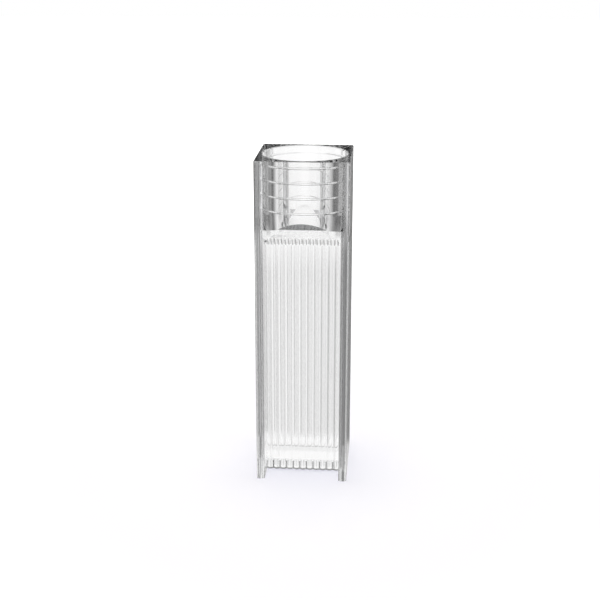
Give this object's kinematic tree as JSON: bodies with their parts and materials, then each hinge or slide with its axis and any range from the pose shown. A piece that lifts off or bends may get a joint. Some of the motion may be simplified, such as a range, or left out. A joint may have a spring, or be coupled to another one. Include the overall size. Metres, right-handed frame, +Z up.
{
  "type": "cuvette",
  "caption": "Semi-micro cuvette in clear plastic: square head with a round mouth, plain optical walls, recessed ribbed walls and a narrow sample chamber.",
  "frame": {"origin": "centre of the base, on the surface that the cuvette stands on", "axes": "+Z up along the cuvette, +X and -X out through the two plain optical walls, so light passes along X; +Y and -Y out through the ribbed walls"},
  "size_m": [0.0126, 0.0126, 0.045],
  "materials": {
    "clear_plastic": "clear moulded polystyrene, polished all over"
  },
  "bodies": {
    "root": {"cuvette": "clear_plastic"}
  },
  "joints": []
}
